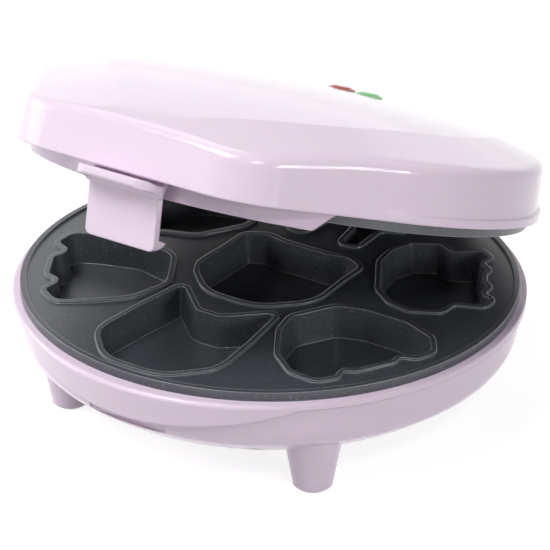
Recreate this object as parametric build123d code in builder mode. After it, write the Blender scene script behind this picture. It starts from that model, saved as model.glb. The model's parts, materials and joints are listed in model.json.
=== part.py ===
from build123d import *
from math import atan2, cos, degrees, radians, sin, sqrt, tan
import os

# Mini cupcake maker: a round bowl-shaped base on four legs, two non-stick plates with seven
# animal-head moulds, and a crowned lid that is hinged at the rear and latched at the front.
# Millimetres. Every piece is drawn as the closed device stands, with the plates' axis at X = Y = 0,
# and then set in place: the base a little forward, and the lid also swung up about its hinge.

# Where things stand
plate_y = -9.0          # the plates' axis, so that the whole device is centred on the origin
hinge_y, hinge_z = 122.0, 53.5
rest_opening = 19.5     # the lid stands this far open
rim_z = 49.5            # top of the base shell
parting_z = 53.5        # the plane between the two plates
lid_edge_z = 57.8       # lower edge of the lid shell
wall = 2.5              # thickness of the moulded shells

# Base shell
rim_r, rim_lip_r, rim_lip_z = 106.2, 107.0, 46.6
bowl_floor_z, bowl_floor_r, bowl_side_r, bowl_turn = 7.0, 46.0, 81.8, 41.3
bowl_shoulder = (104.0, 35.0)
shelf_r, shelf_h = 101.3, 3.0
leg_ring_r, leg_top_r, leg_foot_r, leg_h, leg_foot_edge = 85.2, 13.2, 7.8, 31.0, 1.6
post_edge, screw_well_r, screw_seat_z = 1.0, 4.0, 26.0
crescent_r, crescent_y, crescent_draft, crescent_depth = 100.3, -9.0, 8.0, 20.0
crescent_end_x, crescent_end_z, crescent_low_z, crescent_round = 69.0, 46.5, 35.2, 1.6
pocket_w, pocket_y, pocket_z0, pocket_z1, pocket_wall = 36.4, -100.4, 29.4, 35.2, 1.9
ear_inner_x, ear_outer_x = 30.5, 40.0
ear_root = [(108, 32), (98, 30), (96, 46)]

# Plates
lower_plate_r, upper_plate_r = 104.0, 103.3
field_gap = 1.1         # from the parting plane to each plate's flat field
bead_gap = 0.15         # from the parting plane to the top of each bead
bead_w, cup_depth, cup_draft, cup_wall = 2.2, 13.5, 8.0, 2.5
plate_rim_w = 2.4       # the raised rim round each plate, as high as the beads
boss_ring_r, boss_angles, boss_r, boss_reach, screw_in_boss = 90.0, (60, 120, 240, 300), 4.5, 22.65, 14.0
screw_r, screw_head_r, screw_head_h, bore_gap = 2.0, 3.6, 2.4, 0.05
lower_screw_tip_z, upper_screw_tip_z = 42.0, 81.0

# Heaters and reflectors
seal_r, seal_depth, seal_stand_out, terminal_pin_r, pan_rim_h = 2.4, 6.0, 2.0, 1.0, 5.0
blade_w, blade_t, blade_len = 4.8, 0.8, 5.0     # the flat blades that the wires push on to
tube_r, heater_ring_r, heater_leg_x, heater_bend_r, heater_end_y = 3.25, 60.0, 12.0, 10.0, 84.0
reflector_r, sheet = 97.0, 1.0

# Lid shell
lid_r, lid_front_y, lid_draft, lid_corner_r = 106.6, -116.0, 3.9, 30.0
lid_tangent_angle = 57.0
lid_crease_r, crease_from = 5.0, 8.0
shoulder_z, shoulder_r, shoulder_slope = 80.0, 106.0, 15.4
crown_cross_r, crown_z, lid_top_z = 740.0, 92.0, 97.0
crown_profile = [
    (-130, 70), (-115, 77), (-100, 81.5), (-80, 86), (-60, 89), (-40, 91), (-10, 92), (20, 91.2), (50, 89),
]
crown_tail = (125, 76.5)
cut_reach, cut_low_z = 130.0, 40.0      # how far the cutting profiles run past the lid
edge_bead_r, edge_bead_h, edge_bead_shift = 107.7, 3.5, 1.6
skirt_r, skirt_t, skirt_z, skirt_root_z, skirt_top_x, skirt_low_x = 106.4, 1.8, 50.0, 68.0, 72.0, 66.0
post_above_pan, screw_hole_depth = 6.0, 5.2     # the posts under the roof

# Hinge and latch
barrel_r, hinge_pin_r, barrel_half, hinge_pin_len = 5.5, 2.0, 30.0, 20.0
tongue_root_y, tongue_low_z, tongue_high_z = 102.5, 59.0, 74.0
latch_y, latch_z, latch_half, knuckle_r, latch_pin_r = -109.5, 64.0, 16.0, 2.5, 1.4
tab_half, tab_corner_r, latch_corner_r, latch_foot_z = 17.3, 7.0, 2.5, 30.0
lug_inner_x, lug_outer_x = 17.6, 22.0
lug_profile = [(-114.5, 59), (-104.2, 59), (-104.2, 68), (-114.2, 68)]
# The finger tab and the latch's plate seen from the side, as corners in y and z
tab_profile = [
    (-112.6, 50.6), (-112.4, 55.8), (-116, 55.8), (-122.5, 57.8), (-124.6, 57.8), (-125, 57.3),
    (-125, 55.2), (-123.8, 54.2),
]
latch_profile = [
    (-110.6, latch_z), (-110.6, 56), (-113.2, 55.6), (-112.9, 51), (-109.8, latch_foot_z),
    (-106.9, latch_foot_z), (-101.9, 33.2), (-107.3, 34.6), (-109.95, 52), (-108.2, 55.5), (-108.2, latch_z),
]

# Lamps
lamp_x, lamp_y, lamp_seat_z, lens_r, lens_shank_r = 6.75, 49.5, 88.2, 6.0, 5.0
lens_h, lens_edge_h, lens_edge_w = 2.2, 1.0, 2.4
seat_r, shank_hole_r, shank_len = 6.2, 5.2, 5.0
holder_w, holder_d, holder_h, holder_corner_r, holder_drop = 30.0, 15.0, 7.0, 3.0, 10.0
grip_depth, neon_seat_r, neon_r, neon_len = 2.0, 3.2, 2.8, 3.6

# Electrical parts
thermostat_x, thermostat_y, flange_w, flange_d, flange_t = -42.0, 20.0, 32.0, 11.0, 1.0
flange_hole_x, flange_hole_r, sensor_r, sensor_h, switch_r, switch_h = 12.5, 1.6, 8.5, 3.0, 7.6, 6.0
blade_x, flange_screw_r, flange_head_r, flange_head_h = 4.5, 1.5, 2.6, 2.0
block_y, block_w, block_d, block_foot_h = 30.0, 34.0, 18.0, 4.0
way_pitch, way_w, way_h, way_corner_r, way_screw_r, way_screw_pitch = 11.0, 8.5, 7.0, 2.0, 1.9, 9.0
fuse_y, fuse_r, fuse_len, fuse_wire_r, fuse_wire_len, fuse_lift = -38.0, 2.0, 14.0, 0.6, 40.0, 2.2
fuse_clip_w, fuse_clip_d, fuse_clip_t = 6.0, 12.0, 0.8
bush_x, bush_y, bush_z, bush_r, bush_bore_r, bush_len = -62.0, 97.0, 38.0, 5.0, 3.4, 12.0

base = Location((0, plate_y, 0))
lid = (
    Location((0, plate_y + hinge_y, hinge_z))
    * Location((0, 0, 0), (-rest_opening, 0, 0))
    * Location((0, -hinge_y, -hinge_z))
)


def set_in(place, plane):
    return Plane(place * plane.location)


def level(place, z, x=0.0, y=0.0, turn=0.0):
    """A level plane of the base or the lid, with its own x turned about the upright."""
    side = (cos(radians(turn)), sin(radians(turn)), 0)
    return set_in(place, Plane(origin=(x, y, z), x_dir=side, z_dir=(0, 0, 1)))


def sideways(place, x):
    """An upright plane that faces the right side: its x runs to the rear and its y up."""
    return set_in(place, Plane(origin=(x, 0, 0), x_dir=(0, 1, 0), z_dir=(1, 0, 0)))


def frontal(place, y):
    """An upright plane that faces the front: its x runs to the right and its y up."""
    return set_in(place, Plane(origin=(0, y, 0), x_dir=(1, 0, 0), z_dir=(0, -1, 0)))


def plates_axis(place):
    centre = level(place, 0)
    return Axis(centre.origin, centre.z_dir)


def on_ring(radius, angle):
    return radius * cos(radians(angle)), radius * sin(radians(angle))


def save(piece, name):
    piece.part.label = name
    export_step(piece.part, f"parts/{name}.step")


os.makedirs("parts", exist_ok=True)
pan_bottom_z = parting_z - boss_reach - sheet
boss_spots = [on_ring(boss_ring_r, angle) for angle in boss_angles]


# Base shell
def bowl_steps(inset, count):
    """The low side's profile in short straight steps, from the floor out to the shoulder."""
    steps = []
    for i in range(count + 1):
        turn = radians(bowl_turn * i / count)
        reach = (bowl_side_r - inset) * sin(turn)
        drop = (bowl_side_r - inset) * cos(turn)
        steps.append((bowl_floor_r + reach, bowl_floor_z + bowl_side_r - drop))
    return steps


with BuildPart() as bowl:
    with BuildSketch(sideways(base, 0)):
        with BuildLine():
            low_side = bowl_steps(0, 6)
            Polyline((0, bowl_floor_z), *low_side)
            end_turn = radians(bowl_turn)
            TangentArc(low_side[-1], bowl_shoulder, tangent=(cos(end_turn), sin(end_turn)))
            Polyline(bowl_shoulder, (rim_r, rim_z), (0, rim_z), (0, bowl_floor_z))
        make_face()
    revolve(axis=plates_axis(base))

with BuildPart() as bowl_hollow:
    with BuildSketch(sideways(base, 0)):
        with BuildLine():
            Polyline(
                (0, bowl_floor_z + wall), *bowl_steps(wall, 4),
                (bowl_shoulder[0] - wall, bowl_shoulder[1]), (rim_r - wall, rim_z), (0, rim_z),
                (0, bowl_floor_z + wall),
            )
        make_face()
    revolve(axis=plates_axis(base))


with BuildPart() as crescent:
    # The crescent lip under the rim at the front, cut along a smile-shaped lower edge.
    with BuildSketch(level(base, rim_z, y=crescent_y)):
        Circle(crescent_r)
    extrude(amount=-crescent_depth, taper=crescent_draft)
    with BuildSketch(frontal(base, -70)):
        with BuildLine():
            ThreePointArc(
                (-crescent_end_x, crescent_end_z), (0, crescent_low_z), (crescent_end_x, crescent_end_z)
            )
            Polyline(
                (crescent_end_x, crescent_end_z),
                (crescent_end_x, rim_z),
                (-crescent_end_x, rim_z),
                (-crescent_end_x, crescent_end_z),
            )
        make_face()
    extrude(amount=50, mode=Mode.INTERSECT)
    fillet(crescent.edges().group_by(Axis.Z)[-1].sort_by(Axis.Y)[0], crescent_round)

with BuildPart() as inner_walls:
    # Posts under the plate's bosses, which like the pocket end flush with the bowl's outer side.
    for x, y in boss_spots:
        with BuildSketch(level(base, 0, x, y)):
            Circle(boss_r + post_edge)
        extrude(amount=pan_bottom_z)
    # The walls round the pocket that the latch's hook turns into
    with BuildSketch(level(base, pocket_z0 - pocket_wall, y=pocket_y - 1)):
        Rectangle(pocket_w + 2 * pocket_wall, 6)
    extrude(amount=pocket_z1 - pocket_z0 + 2 * pocket_wall)
    add(bowl.part, mode=Mode.INTERSECT)

with BuildPart() as base_shell:
    add(bowl.part)
    add(crescent.part)
    with BuildSketch(level(base, rim_lip_z)):
        Circle(rim_lip_r)
    extrude(amount=rim_z - rim_lip_z)
    for angle in (45, 135, 225, 315):
        with BuildSketch(level(base, leg_h, *on_ring(leg_ring_r, angle))):
            Circle(leg_top_r)
        with BuildSketch(level(base, 0, *on_ring(leg_ring_r, angle))):
            Circle(leg_foot_r)
        loft()
    chamfer(base_shell.edges().group_by(Axis.Z)[0], leg_foot_edge)
    add(bowl_hollow.part, mode=Mode.SUBTRACT)
    with BuildSketch(level(base, rim_z - shelf_h)):
        Circle(rim_r - 1)
        Circle(shelf_r, mode=Mode.SUBTRACT)
    extrude(amount=shelf_h)
    add(inner_walls.part)
    with BuildSketch(level(base, pocket_z0, y=pocket_y - 5)):
        Rectangle(pocket_w, 10)
    extrude(amount=pocket_z1 - pocket_z0, mode=Mode.SUBTRACT)
    # Deep wells from below for the screws, which pass through the posts.
    for x, y in boss_spots:
        with BuildSketch(level(base, 0, x, y)):
            Circle(screw_well_r)
        extrude(amount=screw_seat_z, mode=Mode.SUBTRACT)
        with BuildSketch(level(base, 0, x, y)):
            Circle(screw_r + bore_gap)
        extrude(amount=pan_bottom_z + 1, mode=Mode.SUBTRACT)
    # Two ears at the rear that hold the hinge pins.
    for x in (ear_inner_x, -ear_outer_x):
        with BuildSketch(sideways(base, x)):
            with BuildLine():
                Polyline(
                    ear_root[-1], (hinge_y - 2, hinge_z + barrel_r - 0.4),
                    (hinge_y + barrel_r - 0.6, hinge_z - 2), *ear_root,
                )
            make_face()
            with Locations((hinge_y, hinge_z)):
                Circle(barrel_r)
        extrude(amount=ear_outer_x - ear_inner_x)
    with BuildSketch(sideways(base, -ear_outer_x)):
        with Locations((hinge_y, hinge_z)):
            Circle(hinge_pin_r + bore_gap)
    extrude(amount=2 * ear_outer_x, mode=Mode.SUBTRACT)
save(base_shell, "base_shell")


# Mould outlines: the right half of each animal's head, from the chin round to the top of the head,
# as corners with their radii. The face's y runs up towards the plates' axis.
cat = (
    [(14, -29.5), (31, -12), (29, 14), (25, 44.9), (5, 26.5)],
    [20, 18, 10, 4.4, 4],
)
pig = (
    [(13, -30.5), (31.5, -13), (30.5, 11), (31, 26), (20, 31.5), (11, 29)],
    [22, 20, 9, 7, 8, 5],
)
dog = (
    [(9, -25.5), (12.5, -22.5), (17, -27), (27, -26), (33, -14), (31, 2), (21, 20), (11, 29)],
    [4.4, 2, 4.4, 7, 8, 12, 8, 10],
)
tiger = (
    [
        (3, -24.5), (8, -27), (14, -23.5), (19, -28), (27.5, -24),
        (25.5, -11), (33, -6), (32.5, 8), (25, 17), (13, 22),
    ],
    [2, 4.4, 2.5, 4.4, 5, 2.5, 4.4, 6, 6, 8],
)
bear = (
    [(9, -27), (14, -21), (22, -27.5), (34, -20), (32, -4), (28, 12), (14, 27)],
    [6, 3, 6, 8, 6, 12, 13],
)
rabbit = (
    [(12, -27), (30, -12), (28, 6), (19, 10), (19.5, 30), (8, 31), (5, 12)],
    [16, 14, 6, 3, 5, 5, 2],
)
monkey = (
    [(12, -26), (25, -14), (35, -6), (34, 9), (24, 12), (13, 22)],
    [14, 4, 7, 6, 3, 12],
)
# Where each mould's face has its centre: its distance from the plates' axis and its direction
moulds = [
    (cat, 70, -90), (pig, 0, -90), (dog, 67, -30), (tiger, 66, 30), (rabbit, 69, 90), (monkey, 66, 150),
    (bear, 67, 210),
]


def head_outline(head, grow=0.0):
    """The outline of a head, grown or shrunk all round."""
    corners, radii = head
    other_side = [(-x, y) for x, y in reversed(corners)]
    with BuildSketch(Plane.XY) as outline:
        with BuildLine():
            FilletPolyline(*corners, *other_side, radius=radii + radii[::-1], close=True)
        make_face()
        if grow:
            offset(amount=grow)
    return outline.sketch


def cup_back(head):
    """The plain outline of a cup's outer side: the same head with sharp corners."""
    corners = head[0]
    other_side = [(-x, y) for x, y in reversed(corners)]
    with BuildSketch(Plane.XY) as outline:
        with BuildLine():
            Polyline(*corners, *other_side, close=True)
        make_face()
    return outline.sketch


def mould_plane(place, facing, gap, distance, angle):
    """A plane at a mould's centre, a gap away from the parting plane, that looks out of the cup.
    Its y points from the rim towards the plates' axis. facing is -1 for down and 1 for up."""
    flat = level(Location((0, 0, 0)), parting_z + facing * gap, *on_ring(distance, angle), turn=angle + 90)
    return set_in(place, Plane(origin=flat.origin, x_dir=flat.x_dir * -facing, z_dir=(0, 0, -facing)))


def plate_form(place, radius, facing, back_z):
    """One plate. Its cups lead away from the parting plane."""
    field_z = parting_z + facing * field_gap
    boss_end_z = parting_z + facing * boss_reach
    with BuildPart() as plate:
        with BuildSketch(level(place, field_z)):
            Circle(radius)
        extrude(amount=back_z - field_z)
        with BuildSketch(level(place, parting_z + facing * bead_gap)):
            Circle(radius)
            Circle(radius - plate_rim_w, mode=Mode.SUBTRACT)
        extrude(amount=back_z - parting_z - facing * bead_gap)
        for head, distance, angle in moulds:
            with BuildSketch(mould_plane(place, facing, field_gap, distance, angle)):
                add(head_outline(head))
            extrude(amount=field_gap - bead_gap)
            with BuildSketch(mould_plane(place, facing, field_gap, distance, angle)):
                add(cup_back(head))
            extrude(amount=field_gap - bead_gap - cup_depth - cup_wall)
        for head, distance, angle in moulds:
            with BuildSketch(mould_plane(place, facing, bead_gap, distance, angle)):
                add(head_outline(head, -bead_w))
            extrude(amount=-cup_depth, taper=cup_draft, mode=Mode.SUBTRACT)
        for x, y in boss_spots:
            with BuildSketch(level(place, back_z, x, y)):
                Circle(boss_r)
            extrude(amount=boss_end_z - back_z)
    return plate


with BuildPart() as lower_plate:
    add(plate_form(base, lower_plate_r, -1, rim_z).part)
    for x, y in boss_spots:
        with BuildSketch(level(base, parting_z - boss_reach, x, y)):
            Circle(screw_r + bore_gap)
        extrude(amount=screw_in_boss, mode=Mode.SUBTRACT)
save(lower_plate, "lower_plate")

with BuildPart() as upper_plate:
    add(plate_form(lid, upper_plate_r, 1, lid_edge_z).part)
    for x, y in boss_spots:
        with BuildSketch(level(lid, parting_z, x, y)):
            Circle(screw_r + bore_gap)
        extrude(amount=boss_reach + 1, mode=Mode.SUBTRACT)
        # The screw heads sit in recesses in the plate's field.
        with BuildSketch(level(lid, parting_z, x, y)):
            Circle(screw_head_r + 0.2)
        extrude(amount=field_gap + screw_head_h, mode=Mode.SUBTRACT)
save(upper_plate, "upper_plate")


# Heaters: a tube pressed to eight flats and bent to an open ring under the moulds, with two legs
# that run to the rear
def heater_centre_line(place, z):
    """The ring, a bend that turns out of it at each end, and the two straight legs."""
    bend_x = heater_leg_x + heater_bend_r
    bend_y = sqrt((heater_ring_r + heater_bend_r) ** 2 - bend_x**2)
    share = heater_ring_r / (heater_ring_r + heater_bend_r)
    gap_angle = degrees(atan2(bend_x, bend_y))
    with BuildLine(level(place, z)) as route:
        Line((heater_leg_x, heater_end_y), (heater_leg_x, bend_y))
        JernArc((heater_leg_x, bend_y), (0, -1), heater_bend_r, 90 - gap_angle)
        CenterArc((0, 0), heater_ring_r, 90 - gap_angle, -(360 - 2 * gap_angle))
        JernArc((-heater_leg_x, bend_y), (0, -1), heater_bend_r, gap_angle - 90)
        Line((-heater_leg_x, bend_y), (-heater_leg_x, heater_end_y))
    return route


def leg_end(place, z, side, y):
    """The upright plane across a heater leg, facing the rear."""
    return set_in(place, Plane(origin=(side * heater_leg_x, y, z), x_dir=(-1, 0, 0), z_dir=(0, 1, 0)))


def heater_form(place, z):
    with BuildPart() as heater:
        route = heater_centre_line(place, z)
        with BuildSketch(leg_end(place, z, 1, heater_end_y)):
            RegularPolygon(tube_r, 8, major_radius=False, rotation=22.5)
        sweep(path=route.wires()[0])
        for side in (-1, 1):
            with BuildSketch(leg_end(place, z, side, heater_end_y - seal_depth)):
                Circle(seal_r)
            extrude(amount=seal_depth + 1, mode=Mode.SUBTRACT)
    return heater


def seals_form(place, z):
    with BuildPart() as seals:
        for side in (-1, 1):
            with BuildSketch(leg_end(place, z, side, heater_end_y - seal_depth)):
                Circle(seal_r)
                Circle(terminal_pin_r, mode=Mode.SUBTRACT)
            extrude(amount=seal_depth + seal_stand_out)
    return seals


def terminal_pins_form(place, z):
    with BuildPart() as pins:
        for side in (-1, 1):
            with BuildSketch(leg_end(place, z, side, heater_end_y - seal_depth)):
                Circle(terminal_pin_r)
            extrude(amount=seal_depth + seal_stand_out)
            with BuildSketch(leg_end(place, z, side, heater_end_y + seal_stand_out)):
                Rectangle(blade_t, blade_w)
            extrude(amount=blade_len)
    return pins


# Reflectors: pressed pans that hold each heater up against the cups
def reflector_form(place, z, facing):
    with BuildPart() as pan:
        with BuildSketch(level(place, z)):
            Circle(reflector_r)
            with Locations(boss_spots):
                Circle(screw_r + 0.3, mode=Mode.SUBTRACT)
        extrude(amount=facing * sheet)
        with BuildSketch(level(place, z)):
            Circle(reflector_r)
            Circle(reflector_r - sheet, mode=Mode.SUBTRACT)
        extrude(amount=-facing * pan_rim_h)
    return pan


def screws_form(place, head_z, tip_z):
    """Four pan-head screws, each with its head at head_z and its tip at tip_z."""
    up = 1 if tip_z > head_z else -1
    with BuildPart() as screws:
        for x, y in boss_spots:
            with BuildSketch(level(place, head_z, x, y)):
                Circle(screw_head_r)
            extrude(amount=up * screw_head_h)
            with BuildSketch(level(place, head_z, x, y)):
                Circle(screw_r)
            extrude(amount=tip_z - head_z)
    return screws


for name, place, facing in (("lower", base, -1), ("upper", lid, 1)):
    pan_z = parting_z + facing * boss_reach
    heater_z = pan_z - facing * tube_r
    save(heater_form(place, heater_z), f"{name}_heating_element")
    save(seals_form(place, heater_z), f"{name}_end_seals")
    save(terminal_pins_form(place, heater_z), f"{name}_terminal_pins")
    save(reflector_form(place, pan_z, facing), f"{name}_reflector")
save(screws_form(base, screw_seat_z - screw_head_h, lower_screw_tip_z), "lower_plate_screws")
save(screws_form(lid, parting_z + field_gap, upper_screw_tip_z), "upper_plate_screws")


# Lid shell
def lid_plan(inset):
    """A circle whose sides run on along tangents to the flat front."""
    circle_r = lid_r - inset
    front_y = lid_front_y + inset
    turn = radians(lid_tangent_angle)
    touch_x, touch_y = circle_r * sin(turn), -circle_r * cos(turn)
    corner_x = touch_x - (touch_y - front_y) / tan(turn)
    with BuildSketch(Plane.XY) as plan:
        with BuildLine():
            CenterArc((0, 0), circle_r, lid_tangent_angle - 90, 360 - 2 * lid_tangent_angle)
            FilletPolyline(
                (-touch_x, touch_y), (-corner_x, front_y), (corner_x, front_y), (touch_x, touch_y),
                radius=lid_corner_r - inset,
            )
        make_face()
    return plan.sketch


def lid_form(inset):
    """The lid's outer form, or the same form shrunk by the wall for its hollow."""
    with BuildPart() as form:
        with BuildSketch(level(lid, lid_edge_z)):
            add(lid_plan(inset))
        with BuildSketch(level(lid, lid_top_z)):
            add(lid_plan(inset + (lid_top_z - lid_edge_z) * tan(radians(lid_draft))))
        loft(ruled=True)
        # Crown: its side profile swung about a far axis below, so that it also falls to both sides.
        swing = set_in(lid, Plane(origin=(0, 0, crown_z - crown_cross_r), x_dir=(1, 0, 0), z_dir=(0, 1, 0)))
        with BuildSketch(sideways(lid, 0)):
            with BuildLine():
                Spline(*[(y, z - inset) for y, z in crown_profile])
                Polyline(
                    (crown_profile[-1][0], crown_profile[-1][1] - inset),
                    (crown_tail[0], crown_tail[1] - inset), (crown_tail[0], cut_low_z),
                    (crown_profile[0][0], cut_low_z), (crown_profile[0][0], crown_profile[0][1] - inset),
                )
            make_face()
        revolve(axis=Axis(swing.origin, swing.z_dir), mode=Mode.INTERSECT)
        # Shoulder: a flat cone round the plates' axis.
        with BuildSketch(sideways(lid, 0)):
            with BuildLine():
                rise = tan(radians(shoulder_slope))
                edge_z = shoulder_z - (cut_reach - shoulder_r) * rise - inset
                Polyline(
                    (0, cut_low_z), (cut_reach, cut_low_z), (cut_reach, edge_z),
                    (0, edge_z + cut_reach * rise), (0, cut_low_z),
                )
            make_face()
        revolve(axis=plates_axis(lid), mode=Mode.INTERSECT)
    return form.part


def height_in_lid(point):
    """How far a point stands above the lid's lower edge, measured square to that edge."""
    edge_plane = level(lid, lid_edge_z)
    return (point - edge_plane.origin).dot(edge_plane.z_dir)


with BuildPart() as lid_outside:
    add(lid_form(0))
    # The creases between crown, shoulder and sides are soft.
    creases = lid_outside.edges().filter_by(
        lambda edge: min(height_in_lid(edge @ share) for share in (0, 0.5, 1)) > crease_from
    )
    fillet(creases, lid_crease_r)


with BuildPart() as skirt:
    # The skirt that hangs inside the flat front, with slanted ends.
    with BuildSketch(level(lid, skirt_z)):
        Circle(skirt_r)
        Circle(skirt_r - skirt_t, mode=Mode.SUBTRACT)
    extrude(amount=skirt_root_z - skirt_z)
    with BuildSketch(frontal(lid, -60)):
        Polygon(
            (-skirt_low_x, skirt_z), (skirt_low_x, skirt_z), (skirt_top_x, lid_edge_z),
            (skirt_top_x, skirt_root_z), (-skirt_top_x, skirt_root_z), (-skirt_top_x, lid_edge_z),
            align=None,
        )
    extrude(amount=60, mode=Mode.INTERSECT)

with BuildPart() as lid_shell:
    add(lid_outside.part)
    # A bead along the lower edge, which fades out towards the flat front.
    with BuildSketch(level(lid, lid_edge_z)):
        Circle(edge_bead_r)
        with Locations((0, edge_bead_shift)):
            Circle(edge_bead_r, mode=Mode.INTERSECT)
    extrude(amount=edge_bead_h)
    add(lid_form(wall), mode=Mode.SUBTRACT)
    # The ledge that the plate's flange sits against.
    with BuildSketch(level(lid, lid_edge_z)):
        Circle(skirt_r)
        Circle(shelf_r, mode=Mode.SUBTRACT)
    extrude(amount=shelf_h - 0.5)
    add(skirt.part)
    # Posts under the roof that take the plate's screws.
    for x, y in boss_spots:
        with BuildSketch(level(lid, parting_z + boss_reach + sheet, x, y)):
            Circle(boss_r)
        extrude(amount=post_above_pan)
        with BuildSketch(level(lid, parting_z + boss_reach, x, y)):
            Circle(screw_r + bore_gap)
        extrude(amount=screw_hole_depth, mode=Mode.SUBTRACT)
    # Lugs inside the flat front that hold the latch's pin.
    for x in (lug_inner_x, -lug_outer_x):
        with BuildSketch(sideways(lid, x)):
            Polygon(*lug_profile, align=None)
        extrude(amount=lug_outer_x - lug_inner_x)
    with BuildSketch(sideways(lid, -lug_outer_x)):
        with Locations((latch_y, latch_z)):
            Circle(latch_pin_r + bore_gap)
    extrude(amount=2 * lug_outer_x, mode=Mode.SUBTRACT)
    # The tongue at the rear that carries the broad hinge barrel between the base's ears.
    with BuildSketch(sideways(lid, -barrel_half)):
        Polygon(
            (tongue_root_y, tongue_low_z), (hinge_y - 3, hinge_z - 4.4),
            (hinge_y + 3.6, hinge_z + 4), (tongue_root_y, tongue_high_z), align=None,
        )
        with Locations((hinge_y, hinge_z)):
            Circle(barrel_r)
    extrude(amount=2 * barrel_half)
    with BuildSketch(sideways(lid, -barrel_half)):
        with Locations((hinge_y, hinge_z)):
            Circle(hinge_pin_r + bore_gap)
    extrude(amount=2 * barrel_half, mode=Mode.SUBTRACT)
    # Two seats in the crown for the lamp lenses.
    for x in (-lamp_x, lamp_x):
        with BuildSketch(level(lid, lamp_seat_z, x, lamp_y)):
            Circle(seat_r)
        extrude(amount=lid_top_z - lamp_seat_z, mode=Mode.SUBTRACT)
        with BuildSketch(level(lid, shoulder_z, x, lamp_y)):
            Circle(shank_hole_r)
        extrude(amount=lid_top_z - shoulder_z, mode=Mode.SUBTRACT)
save(lid_shell, "lid_shell")


# Hinge pins, pressed into the base's ears and turning in the lid's barrel
with BuildPart() as hinge_pins:
    for x in (ear_outer_x - hinge_pin_len, -ear_outer_x):
        with BuildSketch(sideways(base, x)):
            with Locations((hinge_y, hinge_z)):
                Circle(hinge_pin_r)
        extrude(amount=hinge_pin_len)
save(hinge_pins, "hinge_pins")


# Latch: a flat plate with a finger tab at its upper end and a hook at its lower end
with BuildPart() as finger_tab:
    with BuildSketch(sideways(lid, -tab_half)):
        with BuildLine():
            Polyline(*tab_profile)
            TangentArc(tab_profile[-1], tab_profile[0], tangent=(1, 0.05))
        make_face()
    extrude(amount=2 * tab_half)
    with BuildSketch(level(lid, skirt_z)):
        with BuildLine():
            tab_front_y = tab_profile[-2][0]
            FilletPolyline(
                (-tab_half, -100), (-tab_half, tab_front_y), (tab_half, tab_front_y), (tab_half, -100),
                radius=(0.1, tab_corner_r, tab_corner_r, 0.1), close=True,
            )
        make_face()
    extrude(amount=lid_edge_z - skirt_z, mode=Mode.INTERSECT)

with BuildPart() as latch:
    with BuildSketch(sideways(lid, -latch_half)):
        with BuildLine():
            Polyline(*latch_profile, latch_profile[0])
        make_face()
        with Locations((latch_y, latch_z)):
            Circle(knuckle_r)
    extrude(amount=2 * latch_half)
    # Its lower corners are round.
    with BuildSketch(frontal(lid, -90)):
        with BuildLine():
            FilletPolyline(
                (-latch_half, skirt_root_z), (-latch_half, latch_foot_z), (latch_half, latch_foot_z),
                (latch_half, skirt_root_z), radius=(0.1, latch_corner_r, latch_corner_r, 0.1), close=True,
            )
        make_face()
    extrude(amount=40, mode=Mode.INTERSECT)
    add(finger_tab.part)
    with BuildSketch(sideways(lid, -latch_half)):
        with Locations((latch_y, latch_z)):
            Circle(latch_pin_r + bore_gap)
    extrude(amount=2 * latch_half, mode=Mode.SUBTRACT)
save(latch, "latch")

with BuildPart() as latch_pin:
    with BuildSketch(sideways(lid, -lug_outer_x)):
        with Locations((latch_y, latch_z)):
            Circle(latch_pin_r)
    extrude(amount=2 * lug_outer_x)
save(latch_pin, "latch_pin")


# Lamps: two domed lenses in the crown, the block that grips their shanks, and the neon lamps in it
for name, x in (("red_lens", -lamp_x), ("green_lens", lamp_x)):
    with BuildPart() as lens:
        with BuildSketch(level(lid, lamp_seat_z, x, lamp_y)):
            Circle(lens_r)
        extrude(amount=lens_h)
        with BuildSketch(level(lid, lamp_seat_z, x, lamp_y)):
            Circle(lens_shank_r)
        extrude(amount=-shank_len)
        chamfer(lens.edges().group_by(plates_axis(lid))[-1], lens_edge_h, lens_edge_w)
    save(lens, name)

with BuildPart() as lamp_holder:
    with BuildSketch(level(lid, lamp_seat_z - holder_drop, 0, lamp_y)):
        RectangleRounded(holder_w, holder_d, holder_corner_r)
    extrude(amount=holder_h)
    for x in (-lamp_x, lamp_x):
        with BuildSketch(level(lid, lamp_seat_z - shank_len, x, lamp_y)):
            Circle(lens_shank_r + bore_gap)
        extrude(amount=grip_depth, mode=Mode.SUBTRACT)
        with BuildSketch(level(lid, lamp_seat_z - holder_drop + 1, x, lamp_y)):
            Circle(neon_seat_r)
        extrude(amount=holder_h, mode=Mode.SUBTRACT)
save(lamp_holder, "lamp_holder")

with BuildPart() as neon_lamps:
    for x in (-lamp_x, lamp_x):
        with BuildSketch(level(lid, lamp_seat_z - holder_drop + 1, x, lamp_y)):
            Circle(neon_r)
        extrude(amount=neon_len)
save(neon_lamps, "neon_lamps")


# Electrical parts in the base
with BuildPart() as thermostat:
    with BuildSketch(level(base, pan_bottom_z, thermostat_x, thermostat_y)):
        RectangleRounded(flange_w, flange_d, 3)
        with Locations((-flange_hole_x, 0), (flange_hole_x, 0)):
            Circle(flange_hole_r, mode=Mode.SUBTRACT)
    extrude(amount=-flange_t)
    sensor_top_z = pan_bottom_z - flange_t
    with BuildSketch(level(base, sensor_top_z, thermostat_x, thermostat_y)):
        Circle(sensor_r)
    extrude(amount=-sensor_h)
    with BuildSketch(level(base, sensor_top_z - sensor_h, thermostat_x, thermostat_y)):
        Circle(switch_r)
    extrude(amount=-switch_h)
    for x in (-blade_x, blade_x):
        with BuildSketch(level(base, sensor_top_z - sensor_h - switch_h, thermostat_x + x, thermostat_y)):
            Rectangle(blade_t, blade_w)
        extrude(amount=-blade_len)
save(thermostat, "thermostat")

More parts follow.
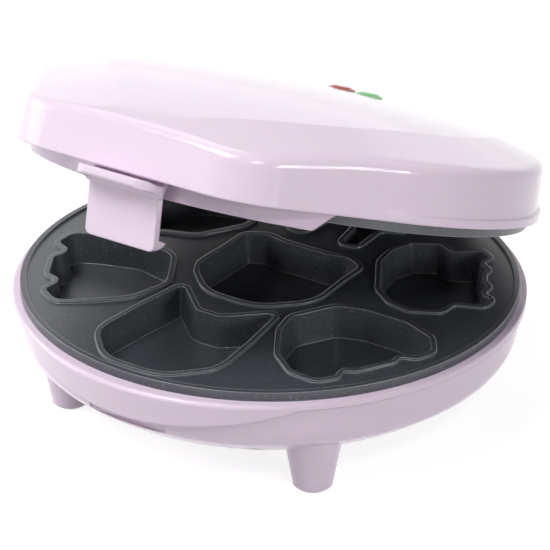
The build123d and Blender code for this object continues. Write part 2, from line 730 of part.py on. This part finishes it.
with BuildPart() as thermostat_screws:
    for x in (thermostat_x - flange_hole_x, thermostat_x + flange_hole_x):
        with BuildSketch(level(base, sensor_top_z, x, thermostat_y)):
            Circle(flange_head_r)
        extrude(amount=-flange_head_h)
        with BuildSketch(level(base, sensor_top_z, x, thermostat_y)):
            Circle(flange_screw_r)
        extrude(amount=flange_t)
save(thermostat_screws, "thermostat_screws")

with BuildPart() as terminal_block:
    block_z = bowl_floor_z + wall
    with BuildSketch(level(base, block_z, 0, block_y)):
        Rectangle(block_w, block_d)
    extrude(amount=block_foot_h)
    with BuildSketch(level(base, block_z + block_foot_h, 0, block_y)):
        with GridLocations(way_pitch, 0, 3, 1):
            RectangleRounded(way_w, block_d - 1, way_corner_r)
    extrude(amount=way_h)
    with BuildSketch(level(base, block_z + block_foot_h + way_h / 2, 0, block_y)):
        with GridLocations(way_pitch, way_screw_pitch, 3, 2):
            Circle(way_screw_r)
    extrude(amount=way_h, mode=Mode.SUBTRACT)
save(terminal_block, "terminal_block")

with BuildPart() as thermal_fuse:
    pan_back_z = parting_z + boss_reach + sheet
    for radius, length in ((fuse_r, fuse_len), (fuse_wire_r, fuse_wire_len)):
        with BuildSketch(sideways(lid, -length / 2)):
            with Locations((fuse_y, pan_back_z + fuse_lift)):
                Circle(radius)
        extrude(amount=length)
    with BuildSketch(level(lid, pan_back_z, 0, fuse_y)):
        Rectangle(fuse_clip_w, fuse_clip_d)
    extrude(amount=fuse_clip_t)
save(thermal_fuse, "thermal_fuse")

with BuildPart() as cord_bush:
    # The flanged bush in the rear wall of the bowl that the lead passes through.
    with BuildSketch(frontal(base, bush_y)):
        with Locations((bush_x, bush_z)):
            Circle(bush_r)
            Circle(bush_bore_r, mode=Mode.SUBTRACT)
    extrude(amount=-bush_len)
save(cord_bush, "cord_bush")
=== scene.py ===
import json
import math

import bmesh
import bpy
from mathutils import Matrix, Vector


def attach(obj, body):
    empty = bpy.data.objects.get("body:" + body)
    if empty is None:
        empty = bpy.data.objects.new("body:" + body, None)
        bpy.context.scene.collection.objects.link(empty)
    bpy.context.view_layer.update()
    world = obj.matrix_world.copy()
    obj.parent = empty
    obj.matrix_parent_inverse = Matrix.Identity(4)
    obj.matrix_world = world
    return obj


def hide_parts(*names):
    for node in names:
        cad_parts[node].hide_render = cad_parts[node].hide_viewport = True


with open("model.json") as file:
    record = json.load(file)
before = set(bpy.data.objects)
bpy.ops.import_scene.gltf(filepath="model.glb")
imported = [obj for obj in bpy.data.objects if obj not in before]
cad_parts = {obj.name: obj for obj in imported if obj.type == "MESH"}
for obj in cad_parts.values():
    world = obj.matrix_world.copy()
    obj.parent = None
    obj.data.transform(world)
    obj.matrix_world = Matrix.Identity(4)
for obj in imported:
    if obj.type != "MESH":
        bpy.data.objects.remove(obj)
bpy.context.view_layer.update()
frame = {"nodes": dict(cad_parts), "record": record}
MM = 0.001

# Camera: it looks at the middle of the device from the front right, a little above the lid
CAMERA_AZIMUTH = math.radians(33.15)
CAMERA_ELEVATION = math.radians(26.68)
CAMERA_ROLL = math.radians(0.305)
CAMERA_DISTANCE = 1086.0 * MM
CAMERA_AIM_RIGHT = 2.06 * MM
PLATES_AXIS = Vector((0, -9.0 * MM, 0))
CAMERA_AIM = PLATES_AXIS + Vector((0, 0, 51.5 * MM))
FOCAL_LENGTH = 170.2
SENSOR_WIDTH = 36.0


def make_camera():
    """The photograph's view, a little rolled, without depth of field."""
    right = Vector((math.cos(CAMERA_AZIMUTH), math.sin(CAMERA_AZIMUTH), 0))
    back = Vector((
        math.sin(CAMERA_AZIMUTH) * math.cos(CAMERA_ELEVATION),
        -math.cos(CAMERA_AZIMUTH) * math.cos(CAMERA_ELEVATION),
        math.sin(CAMERA_ELEVATION),
    ))
    up = back.cross(right)
    rolled_right = right * math.cos(CAMERA_ROLL) + up * math.sin(CAMERA_ROLL)
    rolled_up = up * math.cos(CAMERA_ROLL) - right * math.sin(CAMERA_ROLL)
    data = bpy.data.cameras.new("photo_camera")
    data.lens = FOCAL_LENGTH
    data.sensor_width = SENSOR_WIDTH
    data.sensor_fit = "HORIZONTAL"
    data.clip_start = 0.01
    data.clip_end = 20
    camera = bpy.data.objects.new("photo_camera", data)
    place = CAMERA_AIM + right * CAMERA_AIM_RIGHT + back * CAMERA_DISTANCE
    turn = Matrix((rolled_right, rolled_up, back)).transposed().to_4x4()
    camera.matrix_world = Matrix.Translation(place) @ turn
    bpy.context.collection.objects.link(camera)
    bpy.context.scene.camera = camera


# Shading helpers
def colour(hex_code):
    """An sRGB hex colour as linear red, green, blue and a full alpha."""
    parts = [int(hex_code[i:i + 2], 16) / 255 for i in (1, 3, 5)]
    linear = [c / 12.92 if c <= 0.04045 else ((c + 0.055) / 1.055) ** 2.4 for c in parts]
    return (*linear, 1.0)


def node(tree, kind, settings=None, values=None, links=None):
    """Adds a shader node with its settings, its socket values and its incoming links."""
    made = tree.nodes.new(kind)
    for name, value in (settings or {}).items():
        setattr(made, name, value)
    for name, value in (values or {}).items():
        made.inputs[name].default_value = value
    for name, source in (links or {}).items():
        tree.links.new(source, made.inputs[name])
    return made


def new_material(name):
    """An empty material with its node tree."""
    material = bpy.data.materials.new(name)
    material.use_nodes = True
    material.node_tree.nodes.clear()
    return material, material.node_tree


def per_metre(millimetres):
    """The texture scale at which a pattern repeats about once in that many millimetres."""
    return 1.0 / (millimetres * MM)


def close_up(tree, shader):
    """Ends a material's nodes with this shader as its surface."""
    node(tree, "ShaderNodeOutputMaterial", links={"Surface": shader.outputs[0]})


def noise(tree, size_mm, detail):
    """Cloudy noise fixed to the object, whose patches are about that many millimetres across."""
    place = node(tree, "ShaderNodeTexCoord").outputs["Object"]
    values = {"Scale": per_metre(size_mm), "Detail": detail}
    return node(tree, "ShaderNodeTexNoise", values=values, links={"Vector": place})


def seen_as_background(tree):
    """1 for rays from the camera, from gloss and through clear pieces, and 0 for the light on the object."""
    path = node(tree, "ShaderNodeLightPath")
    direct = node(
        tree, "ShaderNodeMath", {"operation": "MAXIMUM"},
        links={0: path.outputs["Is Camera Ray"], 1: path.outputs["Is Glossy Ray"]},
    )
    return node(
        tree, "ShaderNodeMath", {"operation": "MAXIMUM"},
        links={0: direct.outputs[0], 1: path.outputs["Is Transmission Ray"]},
    ).outputs[0]


def glossy_pink_abs():
    """Injection-moulded ABS in pastel lilac pink: a polished skin that mirrors the lamps, with a very
    faint orange peel, softly broken moulded edges and a slightly milky depth."""
    material, tree = new_material("glossy_pink_abs")
    cloud = noise(tree, 45, 2.0)
    tint = node(
        tree, "ShaderNodeMix", {"data_type": "RGBA"},
        {"A": colour("#EBD8EA"), "B": colour("#E8D4E8")}, {"Factor": cloud.outputs["Fac"]},
    )
    smear = noise(tree, 9, 4.0)
    sheen = node(
        tree, "ShaderNodeMapRange", values={"To Min": 0.09, "To Max": 0.15},
        links={"Value": smear.outputs["Fac"]},
    )
    soft_edges = node(tree, "ShaderNodeBevel", {"samples": 6}, {"Radius": 1.2 * MM})
    peel = noise(tree, 2.5, 1.0)
    bump = node(
        tree, "ShaderNodeBump", values={"Strength": 0.04, "Distance": 0.02 * MM},
        links={"Height": peel.outputs["Fac"], "Normal": soft_edges.outputs["Normal"]},
    )
    shader = node(
        tree, "ShaderNodeBsdfPrincipled",
        values={"IOR": 1.5, "Subsurface Weight": 0.12, "Subsurface Scale": 1.5 * MM},
        links={
            "Base Color": tint.outputs["Result"],
            "Roughness": sheen.outputs["Result"],
            "Normal": bump.outputs["Normal"],
        },
    )
    close_up(tree, shader)
    return material


def non_stick_coating():
    """Sprayed and baked PTFE coating on cast aluminium: charcoal and satin, with a fine grit that
    catches the light as tiny pale points, and a painted highlight on the cast edges as thin bright lines,
    where the coat is also glossier."""
    material, tree = new_material("non_stick_coating")
    # Real grit is about 0.1 mm, too fine to show, so it is drawn at 0.9 mm
    grit = noise(tree, 0.9, 3.0)
    fleck = node(
        tree, "ShaderNodeMapRange", values={"From Min": 0.6, "From Max": 0.82},
        links={"Value": grit.outputs["Fac"]},
    )
    tint = node(
        tree, "ShaderNodeMix", {"data_type": "RGBA"},
        {"A": colour("#44474D"), "B": colour("#868D94")}, {"Factor": fleck.outputs["Result"]},
    )
    soft_edges = node(tree, "ShaderNodeBevel", {"samples": 6}, {"Radius": 0.6 * MM})
    # An edge is where the rounded surface leans away from the flat face; a highlight is painted there in pale
    # grey, and the coat is made glossier there
    flat_face = node(tree, "ShaderNodeNewGeometry").outputs["True Normal"]
    lean = node(
        tree, "ShaderNodeVectorMath", {"operation": "DOT_PRODUCT"},
        links={0: soft_edges.outputs["Normal"], 1: flat_face},
    )
    painted_edge_highlight = node(
        tree, "ShaderNodeMapRange", values={"From Min": 0.995, "From Max": 0.88},
        links={"Value": lean.outputs["Value"]},
    )
    # Painted highlight: the colour at the edges is mixed towards pale grey
    colour_with_painted_highlight = node(
        tree, "ShaderNodeMix", {"data_type": "RGBA"}, {"B": colour("#8E949A")},
        {"Factor": painted_edge_highlight.outputs["Result"], "A": tint.outputs["Result"]},
    )
    grit_rough = node(
        tree, "ShaderNodeMapRange", values={"To Min": 0.24, "To Max": 0.38},
        links={"Value": grit.outputs["Fac"]},
    )
    rough = node(
        tree, "ShaderNodeMix", values={"B": 0.14},
        links={"Factor": painted_edge_highlight.outputs["Result"], "A": grit_rough.outputs["Result"]},
    )
    bump = node(
        tree, "ShaderNodeBump", values={"Strength": 0.25, "Distance": 0.05 * MM},
        links={"Height": grit.outputs["Fac"], "Normal": soft_edges.outputs["Normal"]},
    )
    shader = node(
        tree, "ShaderNodeBsdfPrincipled", values={"IOR": 1.6},
        links={
            "Base Color": colour_with_painted_highlight.outputs["Result"],
            "Roughness": rough.outputs["Result"],
            "Normal": bump.outputs["Normal"],
        },
    )
    close_up(tree, shader)
    return material


DARKEST_GRAIN = 0.85     # the grain's darkest tone, as a share of the finish's own
ROUGHNESS_SWAY = 0.2     # how far the grain sways the roughness, as a share of it


def simple_finish(name, base, metallic, roughness, grain_mm, extra=None):
    """A plain finish whose tone and roughness wander a little at the size of its grain."""
    material, tree = new_material(name)
    grain = noise(tree, grain_mm, 3.0)
    darker = [c * DARKEST_GRAIN for c in colour(base)[:3]] + [1.0]
    tint = node(
        tree, "ShaderNodeMix", {"data_type": "RGBA"}, {"A": colour(base), "B": darker},
        {"Factor": grain.outputs["Fac"]},
    )
    smoothest, roughest = roughness * (1 - ROUGHNESS_SWAY), roughness * (1 + ROUGHNESS_SWAY)
    rough = node(
        tree, "ShaderNodeMapRange", values={"To Min": smoothest, "To Max": roughest},
        links={"Value": grain.outputs["Fac"]},
    )
    shader = node(
        tree, "ShaderNodeBsdfPrincipled", values={"Metallic": metallic, **(extra or {})},
        links={"Base Color": tint.outputs["Result"], "Roughness": rough.outputs["Result"]},
    )
    close_up(tree, shader)
    return material


make_camera()
IN_CLEAR_RESIN = {"Transmission Weight": 0.25}
finishes = {
    "pink_plastic": glossy_pink_abs(),
    "non_stick_plate": non_stick_coating(),
    # Rolled and plated wire and screws: a cool sheen
    "steel": simple_finish("zinc_plated_steel", "#B9BBBD", 1.0, 0.3, 3),
    # Drawn tube that has been red hot: brownish and dull
    "heater_tube": simple_finish("oxidised_steel_tube", "#6E6A66", 1.0, 0.45, 4),
    # Pressed sheet: bright, with the soft clouds of its dipped skin
    "aluminised_steel": simple_finish("aluminised_sheet", "#C9CBCC", 1.0, 0.35, 6),
    # Fired and unglazed: chalky cream
    "ceramic": simple_finish("unglazed_ceramic", "#E4DFD2", 0.0, 0.7, 2),
    # Moulded from a matt tool: off-white without a mirror
    "white_plastic": simple_finish("heat_resistant_nylon", "#E8E6E0", 0.0, 0.5, 5),
    # Moulded and dyed polycarbonate under a glossy dome: the colour is painted bright as a painted glow of
    # the lit indicator lamp behind it
    "red_lens": simple_finish("clear_red_lens", "#C8463C", 0.0, 0.12, 5, IN_CLEAR_RESIN),
    "green_lens": simple_finish("clear_green_lens", "#86E08E", 0.0, 0.12, 5, IN_CLEAR_RESIN),
    # Drawn glass bulbs: nearly clear
    "lamp_glass": simple_finish("neon_lamp_glass", "#F2EEE6", 0.0, 0.05, 5, {"Transmission Weight": 0.9}),
}
for part in frame["record"]["subparts"]:
    holder = frame["nodes"][part["node"]].data.materials
    holder.clear()
    holder.append(finishes[part["material_slot"]])


# The lid's roof. The tips of the two rear screw posts stand through it, so the scene shows a copy of
# the lid whose tips are taken down to the roof around them. Its directions are the open lid's own.
REST_OPENING = math.radians(19.5)
LID_UP = Vector((0, math.sin(REST_OPENING), math.cos(REST_OPENING)))
LID_BACK = Vector((0, math.cos(REST_OPENING), -math.sin(REST_OPENING)))
HINGE = Vector((0, 113.0, 53.5)) * MM
POST_SIDE, POST_BEFORE_HINGE, POST_R = 45.0 * MM, 44.06 * MM, 4.5 * MM
TIP_OVER_HINGE = 29.65 * MM
ROOF_BELOW_TIP = 1.2 * MM   # the roof meets a post no further below its tip
NEAR = 0.02 * MM
JUST_BELOW = 0.005 * MM
UPRIGHT = 0.5               # a face that leans more than this from level is a wall


def round_a_post(point, foot):
    """How far a point is from a post's axis, its turn from the rear, and its height over the tip."""
    out = point - foot
    back = out.dot(LID_BACK)
    return math.hypot(out.x, back), math.atan2(out.x, back), (point - HINGE).dot(LID_UP) - TIP_OVER_HINGE


def roof_at(turn, roof_line):
    """The roof's height at that turn, between the points where it meets the post, or None beyond them."""
    before = [row for row in roof_line if row[0] <= turn]
    after = [row for row in roof_line if row[0] > turn]
    if not before or not after:
        return None
    (start, low), (end, high) = before[-1], after[0]
    return low + (high - low) * (turn - start) / (end - start)


def take_tip_down(shape, side):
    """Lowers the rim of a post's tip to the roof, and deletes the bare piece of wall that it leaves."""
    foot = HINGE + Vector((side, 0, 0)) - LID_BACK * POST_BEFORE_HINGE
    rim = {}
    for vert in shape.verts:
        distance, turn, height = round_a_post(vert.co, foot)
        if abs(distance - POST_R) < NEAR and -ROOF_BELOW_TIP < height < NEAR:
            rim[vert] = (turn, height)
    walls = [
        face for face in shape.faces
        if face.normal.dot(LID_UP) < UPRIGHT and all(vert in rim for vert in face.verts)
    ]
    roof_line = sorted(row for row in rim.values() if row[1] < -JUST_BELOW)
    for vert, (turn, height) in rim.items():
        roof = roof_at(turn, roof_line)
        if height >= -JUST_BELOW and roof is not None:
            vert.co += LID_UP * (roof - height)
    bmesh.ops.delete(shape, geom=walls, context="FACES")


def make_good_the_lid():
    mesh = frame["nodes"]["lid_shell"].data.copy()
    shape = bmesh.new()
    shape.from_mesh(mesh)
    for side in (-POST_SIDE, POST_SIDE):
        take_tip_down(shape, side)
    shape.to_mesh(mesh)
    shape.free()
    made_good = bpy.data.objects.new("lid_shell_made_good", mesh)
    bpy.context.collection.objects.link(made_good)
    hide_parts("lid_shell")
    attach(made_good, "lid")


make_good_the_lid()


# Floor, lamps and background, in metres
FLOOR_HALF = 6.0
LAMPS_REACH = (0.3, 1.2)    # from the middle of the floor to where the lamps' light on it is gone
FLOOR_GLOW = (0.8, 1.0)     # less than white where the lamps add theirs, and full white beyond them
FILL_STRENGTH = 0.06
LAMP_AIM = Vector((0, 0, 0.1))
LAMPS = [   # name, azimuth from +X and elevation in degrees, distance, width and height, watts
    ("key_high_left", -112, 56, 1.9, (1.0, 0.9), 25.5),
    ("low_front_left", -118, 10, 2.0, (1.4, 0.6), 3),
    ("left_side", -165, 14, 2.0, (1.7, 1.1), 15),
    ("top_rear_left", 140, 60, 1.8, (1.0, 0.8), 5),
    ("white_wall_behind", 115, 8, 2.2, (2.6, 0.8), 3),
    ("side_right", -8, 12, 1.9, (0.6, 0.4), 9),
    ("window_right", -40, 40, 1.5, (0.3, 0.14), 3),
]


def make_floor():
    """A white floor for the eye, which keeps the device's shadow and lights it from below as grey paint."""
    mesh = bpy.data.meshes.new("studio_floor")
    corners = [(-1, -1), (1, -1), (1, 1), (-1, 1)]
    mesh.from_pydata([(x * FLOOR_HALF, y * FLOOR_HALF, 0) for x, y in corners], [], [(0, 1, 2, 3)])
    floor = bpy.data.objects.new("studio_floor", mesh)
    bpy.context.collection.objects.link(floor)
    material, tree = new_material("white_floor")
    paint = node(tree, "ShaderNodeBsdfDiffuse", values={"Color": colour("#C4C4C4")})
    place = node(tree, "ShaderNodeTexCoord").outputs["Object"]
    away = node(tree, "ShaderNodeVectorMath", {"operation": "LENGTH"}, links={0: place})
    near, far = LAMPS_REACH
    dim, full = FLOOR_GLOW
    strength = node(
        tree, "ShaderNodeMapRange", values={"From Min": near, "From Max": far, "To Min": dim, "To Max": full},
        links={"Value": away.outputs["Value"]},
    )
    glow = node(
        tree, "ShaderNodeEmission", values={"Color": (1, 1, 1, 1)},
        links={"Strength": strength.outputs["Result"]},
    )
    both = node(tree, "ShaderNodeAddShader", links={0: paint.outputs[0], 1: glow.outputs[0]})
    mixed = node(
        tree, "ShaderNodeMixShader",
        links={"Fac": seen_as_background(tree), 1: paint.outputs[0], 2: both.outputs[0]},
    )
    close_up(tree, mixed)
    mesh.materials.append(material)


def make_world():
    """White where the camera, the gloss and the clear lenses look past the object, and a weak even fill."""
    world = bpy.data.worlds.new("white_studio")
    bpy.context.scene.world = world
    world.use_nodes = True
    tree = world.node_tree
    tree.nodes.clear()
    fill = node(tree, "ShaderNodeBackground", values={"Color": colour("#F2F2F6"), "Strength": FILL_STRENGTH})
    white = node(tree, "ShaderNodeBackground", values={"Color": (1, 1, 1, 1), "Strength": 1.0})
    mixed = node(
        tree, "ShaderNodeMixShader",
        links={"Fac": seen_as_background(tree), 1: fill.outputs[0], 2: white.outputs[0]},
    )
    node(tree, "ShaderNodeOutputWorld", links={"Surface": mixed.outputs[0]})


def softbox(name, azimuth, elevation, distance, size, watts):
    """A rectangular lamp that faces the device from that direction."""
    turn, rise = math.radians(azimuth), math.radians(elevation)
    out = Vector((math.cos(turn) * math.cos(rise), math.sin(turn) * math.cos(rise), math.sin(rise)))
    data = bpy.data.lights.new(name, "AREA")
    data.shape = "RECTANGLE"
    data.size, data.size_y = size
    data.energy = watts
    box = bpy.data.objects.new(name, data)
    box.location = LAMP_AIM + out * distance
    box.rotation_euler = (-out).to_track_quat("-Z", "Y").to_euler()
    bpy.context.collection.objects.link(box)


make_floor()
make_world()
for lamp in LAMPS:
    softbox(*lamp)

bpy.context.scene.view_settings.view_transform = "Standard"
